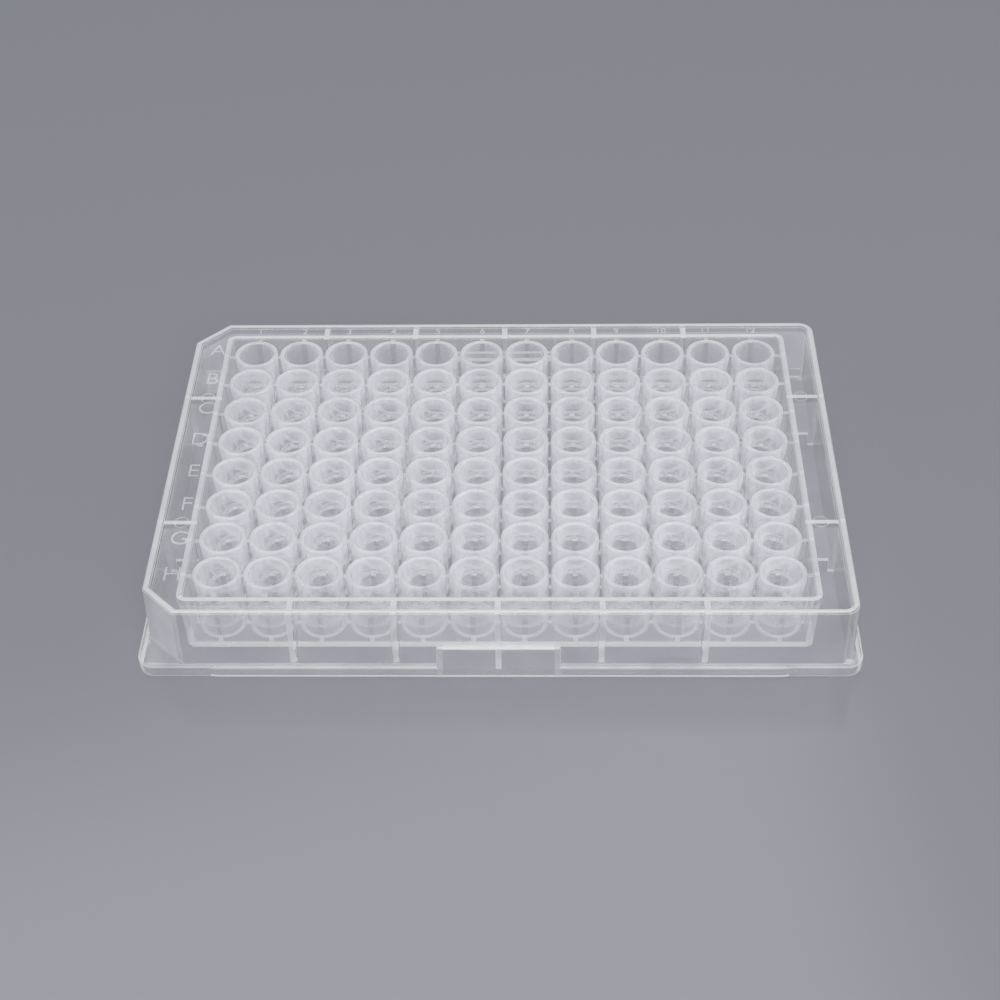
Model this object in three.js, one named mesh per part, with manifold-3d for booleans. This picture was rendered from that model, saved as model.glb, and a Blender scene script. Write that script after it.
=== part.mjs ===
// A 96-well microplate with round-bottomed chimney wells: one injection moulding in natural polypropylene.
// Millimetres, +Z up. The origin is the middle of the footprint, on the surface that the plate stands on.
import * as THREE from "three";
import { mergeVertices } from "three/addons/utils/BufferGeometryUtils.js";
import Module from "manifold-3d";

// ---------- Driving dimensions ----------

// The foot flange is the plate's footprint, an upside-down tray that grippers and stages locate on.
const FOOT_LENGTH = 127.76;
const FOOT_WIDTH = 85.48;
const FOOT_CORNER_RADIUS = 3.2;
const FOOT_HEIGHT = 2.5;
const FOOT_WALL = 1.3;

// The rims of the wells are the highest thing on the plate. The deck lies a little below them.
const OVERALL_HEIGHT = 14.85;
const DECK_DROP = 0.45;
const DECK_THICKNESS = 1;

// The outer wall stands on the foot flange, inside a ledge, and ends in a low lip round the deck.
const LEDGE_AT_ENDS = 1.65;
const LEDGE_AT_SIDES = 1;
const OUTER_WALL = 1.2;
const OUTER_CORNER_RADIUS = 2.8;
const CORNER_CUT = 6;
const LIP_HEIGHT = 0.3;

// The wells: 12 columns along X and 8 rows along Y.
const COLUMNS = 12;
const ROWS = 8;
const PITCH = 9;
const MOUTH_RADIUS = 3.43;
const BOWL_RADIUS = 3.25;
const WELL_WALL = 0.85;
const WELL_FLOOR_HEIGHT = 4.7;
const WELL_FLOOR_THICKNESS = 0.8;

// Webs tie each well to the next one in its row, and the outermost wells to the inner wall.
const WEB_THICKNESS = 0.9;
const WEB_DROP = 0.85;

// The inner wall stands round the block of wells.
const GAP_AT_ENDS = 1.1;
const GAP_AT_SIDES = 1.3;
const INNER_WALL = 1.1;
const INNER_CORNER_RADIUS = 1.8;

// The wells, the webs and the inner wall all stop at this height above the surface.
const BLOCK_FOOT = 2.5;

// For each millimetre below the deck, the channel between the two walls gets this much wider on each side.
const OUTER_DRAFT = 0.012;
const INNER_DRAFT = 0.035;

// Ribs cross the channel. Each has a tab that runs further down the outer wall.
const SIDE_RIBS = 5;
const SIDE_RIB_SPACING = 18;
const SIDE_RIB_THICKNESS = 1.05;
const SIDE_RIB_FOOT = 3.6;
const SIDE_TAB_FOOT = 1.7;
const END_RIBS = 2;
const END_RIB_SPACING = 36;
const END_RIB_THICKNESS = 0.95;
const END_RIB_FOOT = 5.05;
const END_TAB_FOOT = 2.35;
const TAB_WIDTH = 1.1;

// A hollow panel in the middle of each long side stands flush with the foot flange.
const PANEL_LENGTH = 21.7;
const PANEL_HEIGHT = 6.9;
const PANEL_WALL = 1;
const PANEL_RIB_FOOT = 1.2;

// Facets of the round forms.
const CUP_FACETS = 8;
const RECESS_FACETS = 6;
const TUBE_FACETS_A_SIDE = 4;
const ARC_FACETS = 2;

// ---------- Derived sizes ----------

const DECK_TOP = OVERALL_HEIGHT - DECK_DROP;
const DECK_UNDERSIDE = DECK_TOP - DECK_THICKNESS;
const LIP_TOP = DECK_TOP + LIP_HEIGHT;
const TUBE_RADIUS = MOUTH_RADIUS + WELL_WALL;
const WEB_TOP = OVERALL_HEIGHT - WEB_DROP;
const BEYOND = 1;

const inset = (half, dx, dy = dx) => ({ x: half.x - dx, y: half.y - dy });
const range = (count) => [...Array(count).keys()];
const centred = (index, count, spacing) => (index - (count - 1) / 2) * spacing;
const columnX = (column) => centred(column, COLUMNS, PITCH);
const rowY = (row) => -centred(row, ROWS, PITCH);

// Half sizes: of the foot flange, and of the two walls' outer faces at the height of the deck.
const FOOT = { x: FOOT_LENGTH / 2, y: FOOT_WIDTH / 2 };
const OUTER_LEAN = OUTER_DRAFT * (DECK_TOP - FOOT_HEIGHT);
const OUTER = inset(FOOT, LEDGE_AT_ENDS + OUTER_LEAN, LEDGE_AT_SIDES + OUTER_LEAN);
const INNER = {
  x: columnX(COLUMNS - 1) + TUBE_RADIUS + GAP_AT_ENDS + INNER_WALL,
  y: rowY(0) + TUBE_RADIUS + GAP_AT_SIDES + INNER_WALL,
};

// ---------- Solids ----------

const wasm = await Module();
wasm.setup();

function solid(geometry) {
  const bare = geometry.clone();
  bare.deleteAttribute("normal");
  bare.deleteAttribute("uv");
  const { attributes, index } = mergeVertices(bare, 1e-4);
  const vertProperties = attributes.position.array;
  const triVerts = new Uint32Array(index.array);
  return new wasm.Manifold(new wasm.Mesh({ numProp: 3, vertProperties, triVerts }));
}

const join = (solids) => solids.reduce((all, next) => all.add(next));

// A shape raised between two heights. It spreads by the draft for each millimetre below the deck.
function prism(shape, bottom, top, draft = 0) {
  const options = { depth: top - bottom, bevelEnabled: false, curveSegments: ARC_FACETS };
  const geometry = new THREE.ExtrudeGeometry(shape, options).translate(0, 0, bottom);
  const position = geometry.attributes.position;
  for (let i = 0; draft && i < position.count; i++) {
    const spread = draft * (DECK_TOP - position.getZ(i));
    const [x, y] = [position.getX(i), position.getY(i)];
    position.setXY(i, x + Math.sign(x) * spread, y + Math.sign(y) * spread);
  }
  return solid(geometry);
}

function box([x0, x1], [y0, y1], bottom, top) {
  const corners = [[x0, y0], [x1, y0], [x1, y1], [x0, y1]];
  return prism(new THREE.Shape(corners.map(([x, y]) => new THREE.Vector2(x, y))), bottom, top);
}

// A profile of (radius, height) points turned about an upright axis.
function turned(points, facets, x, y) {
  const profile = points.map(([r, z]) => new THREE.Vector2(r, z));
  return solid(new THREE.LatheGeometry(profile, facets).rotateX(Math.PI / 2).translate(x, y, 0));
}

// A rectangle about the origin with rounded corners. A cut takes the two corners at -X off at 45 degrees.
function outline(half, radius, cut = 0) {
  const { x, y } = half;
  const quarter = Math.PI / 2;
  const shape = new THREE.Shape();
  shape.absarc(x - radius, y - radius, radius, 0, quarter);
  if (cut) {
    shape.lineTo(cut - x, y);
    shape.lineTo(-x, y - cut);
    shape.lineTo(-x, cut - y);
    shape.lineTo(cut - x, -y);
  } else {
    shape.absarc(radius - x, y - radius, radius, quarter, 2 * quarter);
    shape.absarc(radius - x, radius - y, radius, 2 * quarter, 3 * quarter);
  }
  shape.absarc(x - radius, radius - y, radius, 3 * quarter, 4 * quarter);
  return shape;
}

// The plan of each wall, drawn in by a distance from its outer face.
function outerPlan(by = 0) {
  const cut = CORNER_CUT - by * (2 - Math.SQRT2);
  return outline(inset(OUTER, by), OUTER_CORNER_RADIUS - by, cut);
}

const innerPlan = (by = 0) => outline(inset(INNER, by), INNER_CORNER_RADIUS - by);
const footPlan = (by = 0) => outline(inset(FOOT, by), FOOT_CORNER_RADIUS - by);

// ---------- Frame: foot flange, panels, outer wall, deck and inner wall ----------

// The panels' outer shells, or with a wall thickness the hollows inside them.
function panels(wall = 0) {
  const x = PANEL_LENGTH / 2 - wall;
  const y = FOOT.y - wall;
  const back = wall ? INNER.y : OUTER.y;
  const bottom = wall ? -BEYOND : 0;
  return [[back, y], [-y, -back]].map((across) => box([-x, x], across, bottom, PANEL_HEIGHT - wall));
}

function frame() {
  const ledge = FOOT_HEIGHT - FOOT_WALL;
  const outside = join([
    prism(footPlan(), 0, FOOT_HEIGHT),
    prism(outerPlan(), ledge, LIP_TOP, OUTER_DRAFT),
    ...panels(),
  ]);
  const inside = join([
    prism(footPlan(FOOT_WALL), -BEYOND, ledge),
    prism(outerPlan(OUTER_WALL), 0, DECK_UNDERSIDE, OUTER_DRAFT),
    prism(outerPlan(OUTER_WALL), DECK_TOP, LIP_TOP + BEYOND),
    ...panels(PANEL_WALL),
  ]);
  const innerWall = prism(innerPlan(), BLOCK_FOOT, DECK_TOP, -INNER_DRAFT);
  const window = prism(innerPlan(INNER_WALL), 0, DECK_TOP + BEYOND, -INNER_DRAFT);
  return outside.subtract(inside).add(innerWall).subtract(window);
}

// ---------- Ribs ----------

// The space from the middle of the outer wall to a distance inside its outer face.
const alongOuterWall = (by) =>
  prism(outerPlan(OUTER_WALL / 2), 0, DECK_TOP, OUTER_DRAFT)
    .subtract(prism(outerPlan(by), -BEYOND, DECK_TOP + BEYOND, OUTER_DRAFT));

const sideRibX = (rib) => centred(rib, SIDE_RIBS, SIDE_RIB_SPACING);
const endRibY = (rib) => centred(rib, END_RIBS, END_RIB_SPACING);
const about = (middle, thickness) => [middle - thickness / 2, middle + thickness / 2];
const across = (half) => [-half, half];

// Every rib as a sheet right across the plate, from its foot up into the deck.
function ribSheets(sideFoot, endFoot) {
  const top = DECK_TOP - DECK_THICKNESS / 2;
  return join([
    ...range(SIDE_RIBS).map((rib) =>
      box(about(sideRibX(rib), SIDE_RIB_THICKNESS), across(FOOT.y), sideFoot, top)),
    ...range(END_RIBS).map((rib) =>
      box(across(FOOT.x), about(endRibY(rib), END_RIB_THICKNESS), endFoot, top)),
  ]);
}

function ribs() {
  const channel = prism(outerPlan(OUTER_WALL / 2), 0, DECK_TOP, OUTER_DRAFT)
    .subtract(prism(innerPlan(INNER_WALL / 2), -BEYOND, DECK_TOP + BEYOND, -INNER_DRAFT));
  const tabs = alongOuterWall(OUTER_WALL + TAB_WIDTH);
  const panelRib = box(about(0, SIDE_RIB_THICKNESS), across(FOOT.y - PANEL_WALL / 2), PANEL_RIB_FOOT, SIDE_RIB_FOOT)
    .subtract(box(across(FOOT.x), across(OUTER.y - OUTER_WALL - TAB_WIDTH), 0, DECK_TOP));
  return join([
    ribSheets(SIDE_RIB_FOOT, END_RIB_FOOT).intersect(channel),
    ribSheets(SIDE_TAB_FOOT, END_TAB_FOOT).intersect(tabs),
    panelRib,
  ]);
}

// ---------- Wells ----------

const WEB_HALF = WEB_THICKNESS / 2;
const TUBE_FLAT = Math.sqrt(TUBE_RADIUS ** 2 - WEB_HALF ** 2);

// A round tube with a flat as wide as a web on the two sides that face its neighbours in the row.
function tube(x, y) {
  const start = Math.asin(WEB_HALF / TUBE_RADIUS);
  const step = (Math.PI - 2 * start) / TUBE_FACETS_A_SIDE;
  const points = [1, -1].flatMap((side) => [
    [x + side * TUBE_FLAT, y + side * WEB_HALF],
    ...range(TUBE_FACETS_A_SIDE - 1).map((i) => {
      const angle = start + (i + 1) * step;
      return [x + side * TUBE_RADIUS * Math.cos(angle), y + side * TUBE_RADIUS * Math.sin(angle)];
    }),
    [x - side * TUBE_FLAT, y + side * WEB_HALF],
  ]);
  const shape = new THREE.Shape(points.map(([px, py]) => new THREE.Vector2(px, py)));
  return prism(shape, BLOCK_FOOT, OVERALL_HEIGHT);
}

// The cup narrows a little from its mouth down to a half-round bowl.
function cup(x, y) {
  const spring = WELL_FLOOR_HEIGHT + BOWL_RADIUS;
  const haunch = BOWL_RADIUS * Math.SQRT1_2;
  const profile = [
    [0, WELL_FLOOR_HEIGHT],
    [haunch, spring - haunch],
    [BOWL_RADIUS, spring],
    [MOUTH_RADIUS, OVERALL_HEIGHT],
    [MOUTH_RADIUS, OVERALL_HEIGHT + BEYOND],
    [0, OVERALL_HEIGHT + BEYOND],
  ];
  return turned(profile, CUP_FACETS, x, y);
}

// A recess under the well keeps its floor thin and leaves the ring that it ends in.
function recess(x, y) {
  const profile = [
    [0, BLOCK_FOOT - BEYOND],
    [BOWL_RADIUS, BLOCK_FOOT - BEYOND],
    [BOWL_RADIUS, BLOCK_FOOT],
    [0, WELL_FLOOR_HEIGHT - WELL_FLOOR_THICKNESS],
  ];
  return turned(profile, RECESS_FACETS, x, y);
}

const atEachWell = (make) =>
  join(range(ROWS).flatMap((row) => range(COLUMNS).map((column) => make(columnX(column), rowY(row)))));

// ---------- Webs ----------

function rowWebs(row) {
  const y = about(rowY(row), WEB_THICKNESS);
  const first = columnX(0) - TUBE_FLAT;
  const wall = INNER.x - INNER_WALL / 2;
  return [
    ...range(COLUMNS - 1).map((column) => {
      const x = [columnX(column) + TUBE_FLAT, columnX(column + 1) - TUBE_FLAT];
      return box(x, y, BLOCK_FOOT, WEB_TOP);
    }),
    box([-wall, first], y, BLOCK_FOOT, WEB_TOP),
    box([-first, wall], y, BLOCK_FOOT, WEB_TOP),
  ];
}

function columnWebs(column) {
  const x = about(columnX(column), WEB_THICKNESS);
  const first = rowY(0) + TUBE_RADIUS - WELL_WALL / 2;
  const wall = INNER.y - INNER_WALL / 2;
  return [[first, wall], [-wall, -first]].map((y) => box(x, y, BLOCK_FOOT, WEB_TOP));
}

// ---------- The plate ----------

function plate() {
  const webs = [...range(ROWS).flatMap(rowWebs), ...range(COLUMNS).flatMap(columnWebs)];
  const { vertProperties, triVerts } = join([frame(), ribs(), atEachWell(tube), join(webs)])
    .subtract(atEachWell(cup))
    .subtract(atEachWell(recess))
    .getMesh();
  const geometry = new THREE.BufferGeometry();
  geometry.setAttribute("position", new THREE.BufferAttribute(vertProperties, 3));
  geometry.setIndex(new THREE.BufferAttribute(triVerts, 1));
  geometry.computeVertexNormals();
  return geometry;
}

const polypropylene = new THREE.MeshStandardMaterial({
  color: 0xdfe3e6,
  roughness: 0.3,
  metalness: 0,
  transparent: true,
  opacity: 0.6,
});

const wellPlate = new THREE.Mesh(plate(), polypropylene);
wellPlate.name = "well_plate";

const part = new THREE.Group();
part.add(wellPlate);

export default part;
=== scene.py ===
"""The look of a 96-well microplate with round-bottomed wells, one moulding in natural polypropylene.

The plate is built in millimetres as one closed mesh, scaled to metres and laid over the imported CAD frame.
Small pieces on its deck, the row letters, column numbers and ejector marks, ride with it.
"""

import math

import bmesh
import bpy
import numpy as np
from mathutils import Matrix, Vector
from mathutils.bvhtree import BVHTree


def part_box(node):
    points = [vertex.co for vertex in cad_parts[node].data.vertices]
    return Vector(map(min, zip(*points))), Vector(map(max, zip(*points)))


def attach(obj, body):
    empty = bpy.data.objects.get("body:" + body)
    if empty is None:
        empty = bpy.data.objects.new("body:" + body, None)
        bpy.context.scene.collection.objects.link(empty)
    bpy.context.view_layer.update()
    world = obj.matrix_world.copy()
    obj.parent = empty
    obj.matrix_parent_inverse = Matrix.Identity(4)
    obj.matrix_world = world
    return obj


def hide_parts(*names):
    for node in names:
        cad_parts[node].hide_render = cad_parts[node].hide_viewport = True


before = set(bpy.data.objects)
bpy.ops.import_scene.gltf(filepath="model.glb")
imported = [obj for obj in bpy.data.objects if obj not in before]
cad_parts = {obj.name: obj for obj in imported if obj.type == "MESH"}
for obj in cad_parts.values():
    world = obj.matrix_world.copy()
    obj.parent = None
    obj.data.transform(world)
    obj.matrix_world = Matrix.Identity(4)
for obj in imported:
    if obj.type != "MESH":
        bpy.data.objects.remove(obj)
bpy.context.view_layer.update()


MM = 0.001

# ---------- Sizes, in millimetres ----------

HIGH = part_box("well_plate")[1] / MM
FOOT = (HIGH.x, HIGH.y)
FOOT_RADIUS = 3.2
FOOT_HEIGHT = 2.5
FOOT_WALL = 1.3
FOOT_TOP_ROUND = 0.35
FOOT_BOTTOM_ROUND = 0.3
# The outermost strip of the flange's underside. It is given more depth than its plastic has, so it shows as a
# bright line: partly real thickness, partly a painted highlight for light that runs inside the wall and leaves
# at the edge.
PAINTED_HIGHLIGHT_STRIP = 0.6
LEDGE_UNDERSIDE = FOOT_HEIGHT - FOOT_WALL

RIM = HIGH.z
DECK_TOP = RIM - 0.45
DECK_UNDERSIDE = DECK_TOP - 1.0
LIP_TOP = DECK_TOP + 0.3

OUTER_DRAFT = 0.012
INNER_DRAFT = -0.035
OUTER_LEAN = OUTER_DRAFT * (DECK_TOP - FOOT_HEIGHT)
OUTER = (FOOT[0] - 1.65 - OUTER_LEAN, FOOT[1] - 1.0 - OUTER_LEAN)
OUTER_RADIUS = 2.8
OUTER_WALL = 1.2
CORNER_CUT = 6.0
CUT_RADIUS = 0.9

PITCH = 9.0
COLUMNS = [(column - 5.5) * PITCH for column in range(12)]
ROWS = [(3.5 - row) * PITCH for row in range(8)]
TUBE_RADIUS = 4.28
MOUTH_RADIUS = 3.43
BOWL_RADIUS = 3.25
WELL_FLOOR = 4.7
SPRING = WELL_FLOOR + BOWL_RADIUS
FLOOR_THICKNESS = 0.8
RECESS_RADIUS = 2.55
SKIRT_RADIUS = 3.42
SKIRT_TOP = 4.5
BLOCK_FOOT = 2.5
WELL_FACETS = 32
# The tubes have a ring of points at these heights, where the depth of plastic behind a face changes.
CLEAR_BELOW = 12.0
MILKY_ABOVE = 12.4
FLANK_TOP = 5.2

INNER_WALL = 1.1
INNER_WALL_FOOT = 1.5
INNER = (COLUMNS[-1] + TUBE_RADIUS + 1.1 + INNER_WALL, ROWS[0] + TUBE_RADIUS + 1.3 + INNER_WALL)
INNER_RADIUS = 1.8

WEB = 0.9
WEB_TOP = RIM - 0.85
LOW_WEB_TOP = 9.9
# Ribs and webs reach this far into the walls and tubes that they join.
INTO_WALL = 0.7
INTO_TUBE = 0.45

SIDE_RIBS = [rib * 18.0 for rib in (-2, -1, 0, 1, 2)]
SIDE_RIB = 1.05
SIDE_RIB_FOOT = 3.6
SIDE_TAB_FOOT = 1.7
END_RIBS = [-18.0, 18.0]
END_RIB = 0.95
END_RIB_FOOT = 5.05
END_TAB_FOOT = 2.35
TAB_WIDTH = 1.1

PANEL_HALF = 10.85
PANEL_TOP = 6.9
PANEL_WALL = 1.0
PANEL_RIB_FOOT = 1.2

# ---------- Meshes ----------


def in_scene(name, data):
    made = bpy.data.objects.new(name, data)
    bpy.context.scene.collection.objects.link(made)
    return made


def mesh_object(name, verts, faces):
    """A closed mesh with its faces turned outwards."""
    mesh = bpy.data.meshes.new(name)
    mesh.from_pydata([tuple(v) for v in verts], [], faces)
    mesh.validate()
    bm = bmesh.new()
    bm.from_mesh(mesh)
    bmesh.ops.recalc_face_normals(bm, faces=bm.faces)
    if bm.calc_volume(signed=True) < 0:
        bmesh.ops.reverse_faces(bm, faces=bm.faces)
    bm.to_mesh(mesh)
    bm.free()
    return in_scene(name, mesh)


def combined(target, other, operation):
    """The target with the other solid joined to it or cut from it. The other is used up."""
    modifier = target.modifiers.new("solid", "BOOLEAN")
    modifier.operation = operation
    modifier.solver = "MANIFOLD"
    modifier.object = other
    bpy.context.view_layer.update()
    mesh = bpy.data.meshes.new_from_object(target.evaluated_get(bpy.context.evaluated_depsgraph_get()))
    target.modifiers.clear()
    target.data = mesh
    bpy.data.objects.remove(other)
    if not mesh.polygons:
        raise RuntimeError("a boolean left nothing")
    return target


def boxes(name, spans, round_off=0.0):
    """Upright boxes with rounded edges, one for each ((x0, x1), (y0, y1), (z0, z1))."""
    bm = bmesh.new()
    for x, y, z in spans:
        size = Matrix.Diagonal((x[1] - x[0], y[1] - y[0], z[1] - z[0], 1))
        middle = Vector((sum(x) / 2, sum(y) / 2, sum(z) / 2))
        bmesh.ops.create_cube(bm, size=1, matrix=Matrix.Translation(middle) @ size)
    if round_off:
        bmesh.ops.bevel(bm, geom=bm.edges[:], offset=round_off, segments=2, profile=0.5, affect="EDGES")
    mesh = bpy.data.meshes.new(name)
    bm.to_mesh(mesh)
    bm.free()
    return in_scene(name, mesh)


def turned(name, profile, facets, centres):
    """A profile of (radius, height) points turned about an upright axis, copied to each centre."""
    verts, faces = [], []
    angles = [2 * math.pi * (i + 0.5) / facets for i in range(facets)]
    for x, y in centres:
        rings = []
        for r, z in profile:
            start = len(verts)
            if r == 0:
                verts.append((x, y, z))
                rings.append([start] * facets)
            else:
                verts.extend((x + r * math.cos(a), y + r * math.sin(a), z) for a in angles)
                rings.append(list(range(start, start + facets)))
        for lower, upper in zip(rings, rings[1:]):
            for i in range(facets):
                j = (i + 1) % facets
                face = [lower[i], lower[j], upper[j], upper[i]]
                faces.append(tuple(dict.fromkeys(face)))
    return mesh_object(name, verts, faces)


# ---------- Frame: foot flange, outer wall, deck and inner wall, swept round the plate ----------

CORNER_STEPS = 9


def edges(middles, thickness):
    return [middle + side * thickness / 2 for middle in middles for side in (-1, 1)]


# The straight sides have points where ribs and webs join them, so that no face lies half over one.
STEP = 0.22
STEP_AT = [49.4, 50.1, 50.8, 51.5]
SIDE_STATIONS = sorted(
    edges(SIDE_RIBS, SIDE_RIB)
    + [x for x in edges(COLUMNS, WEB) if abs(x) < STEP_AT[0]]
    + [-PANEL_HALF, PANEL_HALF]
    + [side * x for x in STEP_AT for side in (-1, 1)]
)
END_STATIONS = sorted(edges(END_RIBS, END_RIB) + edges(ROWS, WEB))


def corner_arc(cx, cy, radius, start, turn, steps):
    angles = [start + turn * i / steps for i in range(steps + 1)]
    return [(cx + radius * math.cos(a), cy + radius * math.sin(a)) for a in angles]


def ring(hx, hy, radius, cut=0.0, cut_radius=0.0):
    """One turn of points round a rounded rectangle. A cut takes its two corners at -X off at 45 degrees."""
    quarter = math.pi / 2

    def corner(sx, sy, start):
        if not cut or sx > 0:
            return corner_arc(sx * (hx - radius), sy * (hy - radius), radius, start, quarter, CORNER_STEPS)
        # Two small arcs of half a quarter turn, with the cut's flat between them.
        tangent = cut_radius * math.tan(quarter / 4)
        along_y = (sx * (hx - cut - tangent), sy * (hy - cut_radius))
        along_x = (sx * (hx - cut_radius), sy * (hy - cut - tangent))
        first, second = (along_y, along_x) if sy > 0 else (along_x, along_y)
        half = CORNER_STEPS // 2
        return corner_arc(*first, cut_radius, start, quarter / 2, half) + corner_arc(
            *second, cut_radius, start + quarter / 2, quarter / 2, half
        )

    points = [(hx, y) for y in END_STATIONS]
    points += corner(1, 1, 0)
    points += [(x, hy) for x in reversed(SIDE_STATIONS)]
    points += corner(-1, 1, quarter)
    points += [(-hx, y) for y in reversed(END_STATIONS)]
    points += corner(-1, -1, 2 * quarter)
    points += [(x, -hy) for x in SIDE_STATIONS]
    points += corner(1, -1, 3 * quarter)
    return points


PLANS = {
    "foot": (FOOT, FOOT_RADIUS, 0.0, 0.0),
    "outer": (OUTER, OUTER_RADIUS, OUTER_DRAFT, CORNER_CUT),
    "inner": (INNER, INNER_RADIUS, INNER_DRAFT, 0.0),
}


def step_back(x):
    """How far the flange steps in near the corners."""
    share = (abs(x) - STEP_AT[0]) / (STEP_AT[-1] - STEP_AT[0])
    share = min(1.0, max(0.0, share))
    return STEP * share * share * (3 - 2 * share)


def plan_ring(plan, inset, z):
    """One turn of points at a height, inset from a plan. The inset is measured square to the plan's sides."""
    half, radius, draft, cut = PLANS[plan]
    spread = draft * (DECK_TOP - z) - inset
    cut_now = cut + spread * (2 - math.sqrt(2)) if cut else 0
    points = ring(half[0] + spread, half[1] + spread, radius - inset, cut_now, max(0.2, CUT_RADIUS - inset))
    if plan != "foot":
        return [(x, y, z) for x, y in points]
    return [(x, y * (1 - step_back(x) / abs(y)) if abs(y) > INNER[1] else y, z) for x, y in points]


def half_y(plan, z):
    half, _, draft, _ = PLANS[plan]
    return half[1] + draft * (DECK_TOP - z)


def rounded(section, steps=3):
    """A closed section of (plan, inset, height, fillet radius) corners, with an arc at each fillet."""
    at = [Vector((half_y(plan, z) - inset, z)) for plan, inset, z, _ in section]
    stations = []
    for i, (plan, inset, z, radius) in enumerate(section):
        here = at[i]
        back = (at[i - 1] - here).normalized()
        ahead = (at[(i + 1) % len(at)] - here).normalized()
        if not radius:
            stations.append((plan, inset, z))
            continue
        half_angle = back.angle(ahead) / 2
        centre = here + (back + ahead).normalized() * (radius / math.sin(half_angle))
        start = here + back * (radius / math.tan(half_angle)) - centre
        end = here + ahead * (radius / math.tan(half_angle)) - centre
        for k in range(steps + 1):
            point = centre + start.slerp(end, k / steps).normalized() * radius
            stations.append((plan, half_y(plan, point.y) - point.x, point.y))
    return stations


def swept_frame():
    """The section of flange, outer wall, deck and inner wall, from the foot's outer edge round and back."""
    section = [
        ("foot", 0, 0, FOOT_BOTTOM_ROUND),
        ("foot", 0, FOOT_HEIGHT, FOOT_TOP_ROUND),
        ("outer", 0, FOOT_HEIGHT, 0.3),
        ("outer", 0, LIP_TOP, 0.3),
        ("outer", OUTER_WALL, LIP_TOP, 0.2),
        ("outer", OUTER_WALL, DECK_TOP, 0.12),
        ("inner", 0, DECK_TOP, 0),
        ("inner", INNER_WALL, DECK_TOP, 0.25),
        ("inner", INNER_WALL_FOOT, BLOCK_FOOT, 0.2),
        ("inner", 0, BLOCK_FOOT, 0.2),
        ("inner", 0, DECK_UNDERSIDE, 0.3),
        ("outer", OUTER_WALL, DECK_UNDERSIDE, 0.3),
        ("outer", OUTER_WALL, LEDGE_UNDERSIDE, 0.15),
        ("foot", FOOT_WALL, LEDGE_UNDERSIDE, 0.15),
        ("foot", FOOT_WALL, 0, 0.15),
        ("foot", PAINTED_HIGHLIGHT_STRIP, 0, 0),
    ]
    rings = [plan_ring(*station) for station in rounded(section)]
    count = len(rings[0])
    verts = [point for points in rings for point in points]
    faces = []
    for i in range(len(rings)):
        k = (i + 1) % len(rings)
        for j in range(count):
            n = (j + 1) % count
            faces.append((i * count + j, i * count + n, k * count + n, k * count + j))
    return mesh_object("well_plate_look", verts, faces)


# ---------- Panels, ribs, webs and wells ----------


def both_sides(low, high):
    return [(low, high), (-high, -low)]


def panels(wall=0.0):
    """The panels' outsides, or with a wall thickness the hollows in them, which are open below and behind."""
    back = INNER[1] if wall else OUTER[1]
    bottom = -1.0 if wall else 0.0
    across = (wall - PANEL_HALF, PANEL_HALF - wall)
    return [(across, y, (bottom, PANEL_TOP - wall)) for y in both_sides(back, FOOT[1] - wall)]


def about(middle, thickness):
    return (middle - thickness / 2, middle + thickness / 2)


def rib_spans():
    """Each rib reaches into both walls, and its tab runs further down beside the outer wall."""
    top = DECK_TOP - 0.4
    spans = []
    for x in SIDE_RIBS:
        for y in both_sides(INNER[1] - INTO_WALL, OUTER[1] - OUTER_WALL / 2):
            spans.append((about(x, SIDE_RIB), y, (SIDE_RIB_FOOT, top)))
        tab = OUTER[1] - OUTER_WALL - TAB_WIDTH
        for y in both_sides(tab, OUTER[1] - OUTER_WALL / 2):
            spans.append((about(x, SIDE_RIB), y, (SIDE_TAB_FOOT, top)))
    for y in both_sides(OUTER[1] - OUTER_WALL - TAB_WIDTH, FOOT[1] - PANEL_WALL / 2):
        spans.append((about(0, SIDE_RIB), y, (PANEL_RIB_FOOT, PANEL_TOP - PANEL_WALL / 2)))
    for y in END_RIBS:
        for x in both_sides(INNER[0] - INTO_WALL, OUTER[0] - OUTER_WALL / 2):
            spans.append((x, about(y, END_RIB), (END_RIB_FOOT, top)))
        tab = OUTER[0] - OUTER_WALL - TAB_WIDTH
        for x in both_sides(tab, OUTER[0] - OUTER_WALL / 2):
            spans.append((x, about(y, END_RIB), (END_TAB_FOOT, top)))
    return spans


def web_spans():
    """High webs along each row and to the inner wall, and low webs between the rows."""
    reach = TUBE_RADIUS - INTO_TUBE
    height = (BLOCK_FOOT, WEB_TOP)
    spans = []
    for y in ROWS:
        for left, right in zip(COLUMNS, COLUMNS[1:]):
            spans.append(((left + reach, right - reach), about(y, WEB), height))
        for x in both_sides(COLUMNS[-1] + reach, INNER[0] - INTO_WALL):
            spans.append((x, about(y, WEB), height))
    for x in COLUMNS:
        for y in both_sides(ROWS[0] + reach, INNER[1] - INTO_WALL):
            spans.append((about(x, WEB), y, height))
        for rear, front in zip(ROWS, ROWS[1:]):
            spans.append((about(x, WEB), (front + reach, rear - reach), (BLOCK_FOOT, LOW_WEB_TOP)))
    return spans


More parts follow.
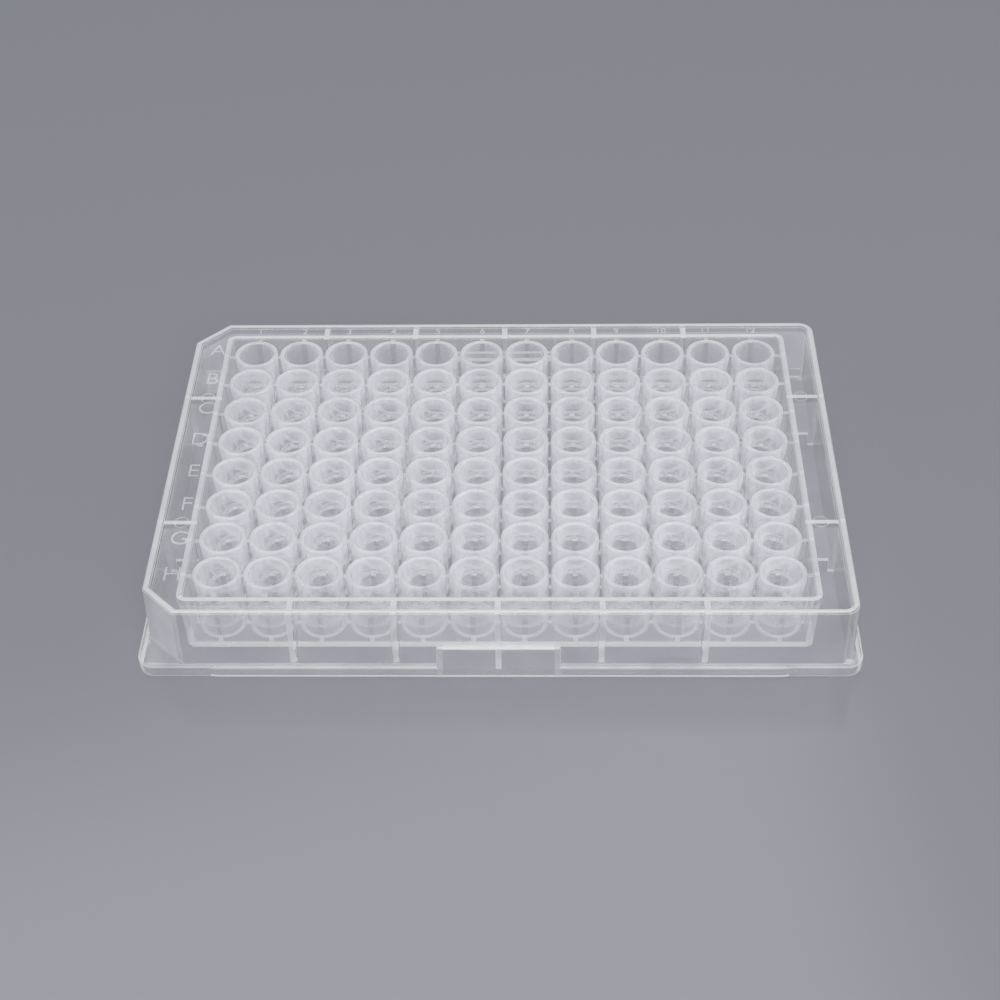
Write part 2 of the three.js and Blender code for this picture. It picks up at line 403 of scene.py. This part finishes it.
def well_profile():
    """From the middle of the recess under the bowl, out round the tube and back down to the bowl's middle."""
    dome = BOWL_RADIUS + FLOOR_THICKNESS
    profile = [(r, SPRING - math.sqrt(dome**2 - r**2)) for r in (0, 0.9, 1.8, RECESS_RADIUS)]
    profile += [(RECESS_RADIUS + 0.1, SKIRT_TOP), (SKIRT_RADIUS - 0.05, SKIRT_TOP)]
    profile += [(SKIRT_RADIUS, BLOCK_FOOT + 0.15), (SKIRT_RADIUS + 0.15, BLOCK_FOOT)]
    profile += [(TUBE_RADIUS - 0.25, BLOCK_FOOT), (TUBE_RADIUS, BLOCK_FOOT + 0.25)]
    profile += [(TUBE_RADIUS, FLANK_TOP), (TUBE_RADIUS, SPRING), (TUBE_RADIUS, CLEAR_BELOW)]
    profile += [(TUBE_RADIUS, RIM - 0.16), (TUBE_RADIUS - 0.05, RIM - 0.05), (TUBE_RADIUS - 0.16, RIM)]
    profile += [(MOUTH_RADIUS + 0.16, RIM), (MOUTH_RADIUS + 0.05, RIM - 0.05), (MOUTH_RADIUS, RIM - 0.2)]
    slope = (MOUTH_RADIUS - BOWL_RADIUS) / (RIM - SPRING)
    profile += [(BOWL_RADIUS + slope * (z - SPRING), z) for z in (MILKY_ABOVE, LOW_WEB_TOP)]
    # The bowl has a ring where the thin floor over the recess ends, so that no face lies half over it.
    thin = math.asin(RECESS_RADIUS / dome)
    tilts = [math.pi / 2, 1.3, 1.05, thin, 0.46, 0.23]
    profile += [(BOWL_RADIUS * math.sin(tilt), SPRING - BOWL_RADIUS * math.cos(tilt)) for tilt in tilts]
    return profile + [(0, WELL_FLOOR)]


def score(piece):
    """Cuts faces along edges of ribs and panel sides, so that each has one depth of plastic behind it."""
    bm = bmesh.new()
    bm.from_mesh(piece.data)
    for x in (-SIDE_RIB / 2, SIDE_RIB / 2, PANEL_WALL - PANEL_HALF, PANEL_HALF - PANEL_WALL):
        everything = bm.verts[:] + bm.edges[:] + bm.faces[:]
        bmesh.ops.bisect_plane(bm, geom=everything, dist=1e-4, plane_co=(x, 0, 0), plane_no=(1, 0, 0))
    bm.to_mesh(piece.data)
    bm.free()


def plate():
    """The whole moulding in millimetres, as one closed mesh."""
    look = combined(swept_frame(), boxes("panels", panels(), 0.25), "UNION")
    combined(look, boxes("hollows", panels(PANEL_WALL), 0.1), "DIFFERENCE")
    for span in rib_spans():
        combined(look, boxes("rib", [span], 0.12), "UNION")
    score(look)
    combined(look, boxes("webs", web_spans()), "UNION")
    centres = [(x, y) for x in COLUMNS for y in ROWS]
    return combined(look, turned("wells", well_profile(), WELL_FACETS, centres), "UNION")


# ---------- Depth of plastic behind each face, in millimetres ----------

CONE_ANGLE = 0.7
CONE = [Vector((0, 0, 1))] + [
    Vector((math.sin(CONE_ANGLE) * math.cos(a), math.sin(CONE_ANGLE) * math.sin(a), math.cos(CONE_ANGLE)))
    for a in (2 * math.pi * k / 6 for k in range(6))
]
LONGEST_RAY = 12.0
# The mean of the rays counts for no more than this many times the straight one.
MEAN_LIMIT = 1.1
# A large triangle is measured at its middle and near its corners, a small one at its middle.
LARGE_TRIANGLE = 1.5
SPREAD = [(1 / 3, 1 / 3, 1 / 3), (0.7, 0.15, 0.15), (0.15, 0.7, 0.15), (0.15, 0.15, 0.7)]


def plastic_behind(tree, point, normal):
    """The mean way through plastic of rays spread about the inward normal.

    It stays near the straight way through, so that a thin wall with a web behind its edge is still thin.
    """
    inward = -normal
    turn = inward.to_track_quat("Z", "Y")
    start = point + inward * 0.01
    lengths = [tree.ray_cast(start, turn @ spoke, LONGEST_RAY)[3] or LONGEST_RAY for spoke in CONE]
    return min(sum(lengths) / len(lengths), MEAN_LIMIT * lengths[0])


# Depths that are set against the photograph, where the measured ones look too clear or too milky.
WALL_DEPTH = 1.15
UPPER_DEPTH = 2.1
INSIDE_DEPTH = 1.9
WEB_DEPTH = 1.5
WEB_TOP_DEPTH = 1.9
RIM_DEPTH = 2.4
RING_DEPTH = 5.0
# Painted highlight: the flange's bottom strip gets more depth than it has, so it shows as a bright line.
PAINTED_EDGE_HIGHLIGHT_DEPTH = 5.0
INNER_DEPTH = 1.2
FOOT_DEPTH = 1.0
# Painted highlight: the flange's top edge gets more depth than it has, so it shows as a bright line.
PAINTED_TOP_HIGHLIGHT_DEPTH = 3.5
FLANK_DEPTH = 2.1
# Inside a well, the wall next to another row is clear this far to each side of its middle, and milky beyond.
CLEAR_HALF = 1.95
CLEAR_HALF_AT_TOP = 1.35
CLEAR_FADE = 0.5
# The inner wall's faces lie between these distances from its outline at the deck, its draft included.
INNER_WALL_ZONE = (-1.7, 0.6)

WELL_GLOSS = 0.15
SHARP_DEGREES = 32


def blend(low, high, share):
    return low + (high - low) * min(1.0, max(0.0, share))


def well_offset(point):
    """How far a point is from the axis of the nearest well, along X and along Y."""
    return tuple(
        value - PITCH * (min(last, max(-last, math.floor(value / PITCH) + 0.5)))
        for value, last in ((point.x, 5.5), (point.y, 3.5))
    )


def from_well(point):
    """How far a point is from the axis of the nearest well."""
    return math.hypot(*well_offset(point))


def from_foot_edge(x, y):
    """How far in from the flange's outline a point is, with x and y taken as positive."""
    along_x, along_y = x - FOOT[0] + FOOT_RADIUS, y - FOOT[1] + FOOT_RADIUS
    if along_x > 0 and along_y > 0:
        return FOOT_RADIUS - math.hypot(along_x, along_y)
    return min(FOOT[0] - x, FOOT[1] - y)


def is_inside(off, z):
    return off < MOUTH_RADIUS + 0.02 and WELL_FLOOR - 0.1 < z < RIM - 0.15


def between_rows(polygon):
    """Whether a face lies between the axes of the first row and the last, so that another row is behind it."""
    return abs(polygon.center.y) < ROWS[0]


def block_depth(polygon, depth):
    """The depth of a face of the wells and webs. Any other face keeps the depth that it has."""
    off, z = from_well(polygon.center), polygon.center.z
    inside = is_inside(off, z)
    on_low_web = z < LOW_WEB_TOP and abs(polygon.normal.x) < 0.15 and abs(polygon.center.y) < ROWS[0] + 1
    if SPRING < z < RIM - 0.2 and off < TUBE_RADIUS + 0.02:
        depth = WEB_DEPTH if inside and on_low_web else WALL_DEPTH
    if inside and z > MILKY_ABOVE and between_rows(polygon):
        depth = INSIDE_DEPTH
    if off < SKIRT_RADIUS + 0.05 and z < SPRING:
        depth = FLANK_DEPTH if abs(z - SKIRT_TOP) < 0.01 else FLOOR_THICKNESS
    if z > RIM - 0.2 and MOUTH_RADIUS < off < TUBE_RADIUS:
        depth = RIM_DEPTH
    if abs(z - WEB_TOP) < 0.01:
        depth = WEB_TOP_DEPTH
    if z < BLOCK_FOOT + 0.2 and SKIRT_RADIUS < off < TUBE_RADIUS:
        depth = RING_DEPTH
    return depth


def is_on_ledge(polygon, from_edge):
    """Whether a face is one of the ledge's flats: a large one, or any of the outer ones of its underside."""
    level = abs(polygon.normal.z) > 0.99 and LEDGE_UNDERSIDE - 0.1 < polygon.center.z < FOOT_HEIGHT + 0.1
    outer_underside = polygon.normal.z < 0 and from_edge < 2.1
    return level and from_edge < 3.5 and (polygon.area > 3 or outer_underside)


def frame_depth(polygon, depth):
    """The depth of a face of the flange, the ledge or the inner wall. Any other face keeps the depth it has."""
    x, y, z = abs(polygon.center.x), abs(polygon.center.y), polygon.center.z
    from_edge = from_foot_edge(x, y)
    # Painted highlight on the underside's outer strip, made by giving it more depth than it has.
    if z < FOOT_BOTTOM_ROUND:
        depth = PAINTED_EDGE_HIGHLIGHT_DEPTH if from_edge < PAINTED_HIGHLIGHT_STRIP else FOOT_DEPTH
    upright = abs(polygon.normal.z) < 0.1 and FOOT_BOTTOM_ROUND < z < DECK_UNDERSIDE
    beside_panel = x > PANEL_HALF or y < FOOT[1] - PANEL_WALL
    # The flange's outer face steps in by STEP near the corners.
    on_foot = upright and from_edge < STEP + 0.08 and z < FOOT_HEIGHT and beside_panel
    if upright and INNER_WALL_ZONE[0] < max(x - INNER[0], y - INNER[1]) < INNER_WALL_ZONE[1]:
        return INNER_DEPTH
    if on_foot or is_on_ledge(polygon, from_edge):
        return min(depth, WALL_DEPTH)
    # Painted highlight on the flange's top edge, made by giving it more depth than it has.
    if from_edge < FOOT_TOP_ROUND + 0.01 and FOOT_HEIGHT - FOOT_TOP_ROUND - 0.05 < z < FOOT_HEIGHT:
        return PAINTED_TOP_HIGHLIGHT_DEPTH
    return depth


def corner_depths(mesh, depth):
    """The depth at each face corner, which is mostly the face's own.

    It grows up the outside of the tubes, which are milkier at the top. Inside, it grows from the middle of the
    gap between two rows towards the webs along the row.
    """
    values = np.zeros(len(mesh.loops))
    for polygon in mesh.polygons:
        values[polygon.loop_start : polygon.loop_start + polygon.loop_total] = depth[polygon.index]
        off, z = from_well(polygon.center), polygon.center.z
        outside = CLEAR_BELOW < z < RIM - 0.2 and MOUTH_RADIUS + 0.1 < off < TUBE_RADIUS + 0.02
        within = SPRING < z < MILKY_ABOVE and off < MOUTH_RADIUS + 0.02 and between_rows(polygon)
        if not (outside or within):
            continue
        for loop in polygon.loop_indices:
            place = mesh.vertices[mesh.loops[loop].vertex_index].co
            if outside:
                values[loop] = blend(WALL_DEPTH, UPPER_DEPTH, (place.z - CLEAR_BELOW) / (RIM - CLEAR_BELOW))
            else:
                clear = CLEAR_HALF_AT_TOP if place.z > MILKY_ABOVE - 0.1 else CLEAR_HALF
                share = (abs(well_offset(place)[0]) - clear) / CLEAR_FADE
                values[loop] = blend(values[loop], INSIDE_DEPTH, share)
    return values


def measured_depths(mesh, tree):
    """The mean depth of plastic behind each face."""
    mesh.calc_loop_triangles()
    weights = np.zeros(len(mesh.polygons))
    depth = np.zeros(len(mesh.polygons))
    for triangle in mesh.loop_triangles:
        a, b, c = (mesh.vertices[v].co for v in triangle.vertices)
        polygon = triangle.polygon_index
        normal = mesh.polygons[polygon].normal
        places = SPREAD if triangle.area > LARGE_TRIANGLE else SPREAD[:1]
        weights[polygon] += triangle.area
        for u, v, w in places:
            behind = plastic_behind(tree, u * a + v * b + w * c, normal)
            depth[polygon] += triangle.area * behind / len(places)
    return depth / np.maximum(weights, 1e-9)


def finish_mesh(piece, frosted=0.0):
    """Gives each face its depth of plastic and its polish, and scales the piece to metres."""
    mesh = piece.data
    bm = bmesh.new()
    bm.from_mesh(mesh)
    bmesh.ops.remove_doubles(bm, verts=bm.verts, dist=0.002)
    tree = BVHTree.FromBMesh(bm)
    bm.to_mesh(mesh)
    bm.free()
    depth = np.maximum(measured_depths(mesh, tree), frosted)
    gloss = np.ones(len(depth))
    for i, polygon in enumerate(mesh.polygons):
        depth[i] = frame_depth(polygon, block_depth(polygon, depth[i]))
        # The insides of the wells are matt.
        if is_inside(from_well(polygon.center), polygon.center.z):
            gloss[i] = WELL_GLOSS
    attributes = (("depth", "CORNER", corner_depths(mesh, depth)), ("polish", "FACE", gloss))
    for name, domain, values in attributes:
        mesh.attributes.new(name, "FLOAT", domain).data.foreach_set("value", values.astype(np.float32))
    mesh.transform(Matrix.Scale(MM, 4))
    mesh.shade_smooth()
    mesh.set_sharp_from_angle(angle=math.radians(SHARP_DEGREES))
    mesh.materials.clear()
    return piece


# ---------- Material ----------

MILKY_DEPTH = 3.5
DEEPEST = 9.0
TINT_DEPTH = 5.0
GRAZING = 0.42
HAZE_POWER = 2.6
LAMPS_PASS = (0.9, 0.9, 0.9, 1)
THIN_COLOUR = (0.92, 0.93, 0.97, 1)
THICK_COLOUR = (0.97, 0.965, 0.94, 1)


def milky_plastic():
    """Natural polypropylene: clear where it is thin, milky where the eye looks along a wall, with a gloss."""
    material = bpy.data.materials.new("polypropylene")
    material.use_nodes = True
    nodes, links = material.node_tree.nodes, material.node_tree.links
    nodes.clear()

    def node(kind, **inputs):
        made = nodes.new(kind)
        for name, value in inputs.items():
            made.inputs[name.replace("_", " ")].default_value = value
        return made

    def maths(operation, a, b=None):
        made = nodes.new("ShaderNodeMath")
        made.operation = operation
        for socket, value in zip(made.inputs, (a, b)):
            if value is None:
                continue
            if isinstance(value, (int, float)):
                socket.default_value = value
            else:
                links.new(value, socket)
        return made.outputs[0]

    def attribute(name):
        made = nodes.new("ShaderNodeAttribute")
        made.attribute_name = name
        return made.outputs["Fac"]

    def noise(scale, detail):
        made = node("ShaderNodeTexNoise", Scale=scale, Detail=detail)
        links.new(place.outputs["Object"], made.inputs["Vector"])
        return made.outputs["Fac"]

    place = nodes.new("ShaderNodeTexCoord")
    layer = node("ShaderNodeLayerWeight", Blend=0.5)
    facing = layer.outputs["Facing"]
    cosine = maths("MAXIMUM", maths("SUBTRACT", 1.0, facing), GRAZING)
    path = maths("DIVIDE", maths("MINIMUM", attribute("depth"), DEEPEST), cosine)
    cloud = maths("ADD", maths("MULTIPLY", noise(160.0, 1.0), 0.5), 0.75)
    haze = maths("POWER", maths("DIVIDE", maths("MULTIPLY", path, cloud), MILKY_DEPTH), HAZE_POWER)
    milk = maths("SUBTRACT", 1.0, maths("POWER", 1 / math.e, haze))
    fresnel = maths("ADD", maths("MULTIPLY", maths("POWER", facing, 5.0), 0.9), 0.04)
    gloss = maths("MULTIPLY", fresnel, attribute("polish"))

    see = nodes.new("ShaderNodeBsdfTransparent")
    tint = nodes.new("ShaderNodeValToRGB")
    tint.color_ramp.elements[0].color = THIN_COLOUR
    tint.color_ramp.elements[1].color = THICK_COLOUR
    links.new(maths("DIVIDE", attribute("depth"), TINT_DEPTH), tint.inputs["Fac"])
    body = nodes.new("ShaderNodeBsdfDiffuse")
    through = nodes.new("ShaderNodeBsdfTranslucent")
    for shader in (body, through):
        links.new(tint.outputs["Color"], shader.inputs["Color"])
    shine = node("ShaderNodeBsdfGlossy", Roughness=0.16)
    grain = node("ShaderNodeBump", Strength=0.12, Distance=0.0001)
    links.new(noise(1800.0, 0.0), grain.inputs["Height"])
    links.new(grain.outputs["Normal"], shine.inputs["Normal"])

    def mixed(share, first, second):
        mix = nodes.new("ShaderNodeMixShader")
        if isinstance(share, (int, float)):
            mix.inputs[0].default_value = share
        else:
            links.new(share, mix.inputs[0])
        links.new(first.outputs[0], mix.inputs[1])
        links.new(second.outputs[0], mix.inputs[2])
        return mix

    inside = mixed(0.4, body, through)
    milky = mixed(milk, see, inside)
    glossy = mixed(gloss, milky, shine)
    # The lamps' light passes evenly, which keeps the render short.
    rays = nodes.new("ShaderNodeLightPath")
    lit = mixed(rays.outputs["Is Shadow Ray"], glossy, node("ShaderNodeBsdfTransparent", Color=LAMPS_PASS))
    output = nodes.new("ShaderNodeOutputMaterial")
    links.new(lit.outputs[0], output.inputs["Surface"])
    return material


# ---------- The plate ----------

polypropylene = milky_plastic()
look = finish_mesh(plate())
look.data.materials.append(polypropylene)
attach(look, "root")
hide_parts("well_plate")

# ---------- Marks on the deck ----------

FROSTED = 1.8
STROKE_HALF = 0.06
LETTER_SIZE, LETTER_THIN = 5.0, 0.07
NUMBER_SIZE, NUMBER_THIN = 2.3, 0.03


def lettering(name, words, size, thin):
    """The meshes of raised strokes on the deck, one word for each (text, x, y)."""
    parts = []
    for text, x, y in words:
        curve = bpy.data.curves.new(name, "FONT")
        curve.body = text
        curve.size = size
        curve.align_x = "CENTER"
        curve.align_y = "CENTER"
        curve.offset = -thin
        curve.extrude = STROKE_HALF
        curve.resolution_u = 6
        letter = in_scene(name, curve)
        bpy.context.view_layer.update()
        mesh = bpy.data.meshes.new_from_object(letter.evaluated_get(bpy.context.evaluated_depsgraph_get()))
        mesh.transform(Matrix.Translation((x, y, DECK_TOP + STROKE_HALF / 2)))
        parts.append(mesh)
        bpy.data.objects.remove(letter)
    return parts


def as_piece(name, meshes):
    bm = bmesh.new()
    for mesh in meshes:
        bm.from_mesh(mesh)
    bmesh.ops.remove_doubles(bm, verts=bm.verts, dist=1e-4)
    mesh = bpy.data.meshes.new(name)
    bm.to_mesh(mesh)
    bm.free()
    return in_scene(name, mesh)


def mark(piece):
    """Finishes a piece on the deck. It is at least as milky as a frosted face."""
    finish_mesh(piece, frosted=FROSTED)
    piece.data.materials.append(polypropylene)
    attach(piece, "root")


LETTER_X = -57.4
LETTER_Y = [33.2 - 9.25 * row for row in range(8)]
letters = [(letter, LETTER_X, y) for letter, y in zip("ABCDEFGH", LETTER_Y)]
mark(as_piece("row_letters", lettering("row_letters", letters, LETTER_SIZE, LETTER_THIN)))

NUMBER_Y = (INNER[1] + OUTER[1] - OUTER_WALL) / 2
numbers = [(str(column + 1), x, NUMBER_Y) for column, x in enumerate(COLUMNS)]
mark(as_piece("column_numbers", lettering("column_numbers", numbers, NUMBER_SIZE, NUMBER_THIN)))

EJECTOR_RADIUS = 1.35
EJECTOR_PLACES = [(x, y) for x in (-57.6, 57.6) for y in END_RIBS]
BEAD = [(-0.1, -0.03), (-0.05, 0.05), (0.05, 0.05), (0.1, -0.03)]
bead = [(EJECTOR_RADIUS + out, DECK_TOP + up) for out, up in BEAD]
mark(turned("ejector_marks", bead + bead[:1], 32, EJECTOR_PLACES))

# ---------- Floor, light and camera ----------


def floor_material():
    material = bpy.data.materials.new("floor")
    material.use_nodes = True
    shader = material.node_tree.nodes["Principled BSDF"]
    shader.inputs["Base Color"].default_value = (0.3, 0.3, 0.33, 1)
    shader.inputs["Roughness"].default_value = 0.2
    return material


FLOOR_HALF = 4.0
floor_corners = [(x * FLOOR_HALF, y * FLOOR_HALF, 0) for x, y in ((-1, -1), (1, -1), (1, 1), (-1, 1))]
floor_mesh = bpy.data.meshes.new("floor")
floor_mesh.from_pydata(floor_corners, [], [(0, 1, 2, 3)])
floor_mesh.materials.append(floor_material())
floor = in_scene("floor", floor_mesh)
floor.location.z = -0.0002


def softbox(name, place, size, power):
    """A rectangular lamp that faces the middle of the plate."""
    light = bpy.data.lights.new(name, "AREA")
    light.shape = "RECTANGLE"
    light.size, light.size_y = size
    light.energy = power
    lamp = in_scene(name, light)
    lamp.location = place
    lamp.rotation_euler = (-Vector(place)).to_track_quat("-Z", "Y").to_euler()


softbox("front_light", (0.15, -0.7, 0.6), (0.8, 0.5), 4.7)
softbox("top_light", (-0.1, 0.4, 0.8), (0.7, 0.4), 1.7)
softbox("left_light", (-0.9, -0.1, 0.5), (0.5, 0.5), 1.0)
softbox("right_light", (0.9, 0.1, 0.45), (0.5, 0.5), 1.0)

world = bpy.data.worlds.new("studio")
bpy.context.scene.world = world
world.use_nodes = True
world.node_tree.nodes["Background"].inputs["Color"].default_value = (0.9, 0.93, 1.0, 1)
world.node_tree.nodes["Background"].inputs["Strength"].default_value = 0.33


def place_camera():
    """The photograph's camera, solved from the plate's corners and wells. Angles in radians."""
    place = Vector((8.413, -273.549, 247.115)) * MM
    yaw, pitch, roll = -0.0325, 0.7269, -0.0233
    forward = Vector((math.sin(yaw) * math.cos(pitch), math.cos(yaw) * math.cos(pitch), -math.sin(pitch)))
    right = Vector((math.cos(yaw), -math.sin(yaw), 0))
    up = right.cross(forward)
    across = math.cos(roll) * right + math.sin(roll) * up
    upward = math.cos(roll) * up - math.sin(roll) * right
    data = bpy.data.cameras.new("camera")
    data.sensor_width = 36
    data.lens = 69.07
    data.clip_start = 0.01
    data.clip_end = 20
    camera = in_scene("camera", data)
    camera.matrix_world = Matrix.Translation(place) @ Matrix((across, upward, -forward)).transposed().to_4x4()
    bpy.context.scene.camera = camera


place_camera()
bpy.context.scene.view_settings.view_transform = "Standard"
bpy.context.scene.cycles.transparent_max_bounces = 48
bpy.context.scene.cycles.diffuse_bounces = 4
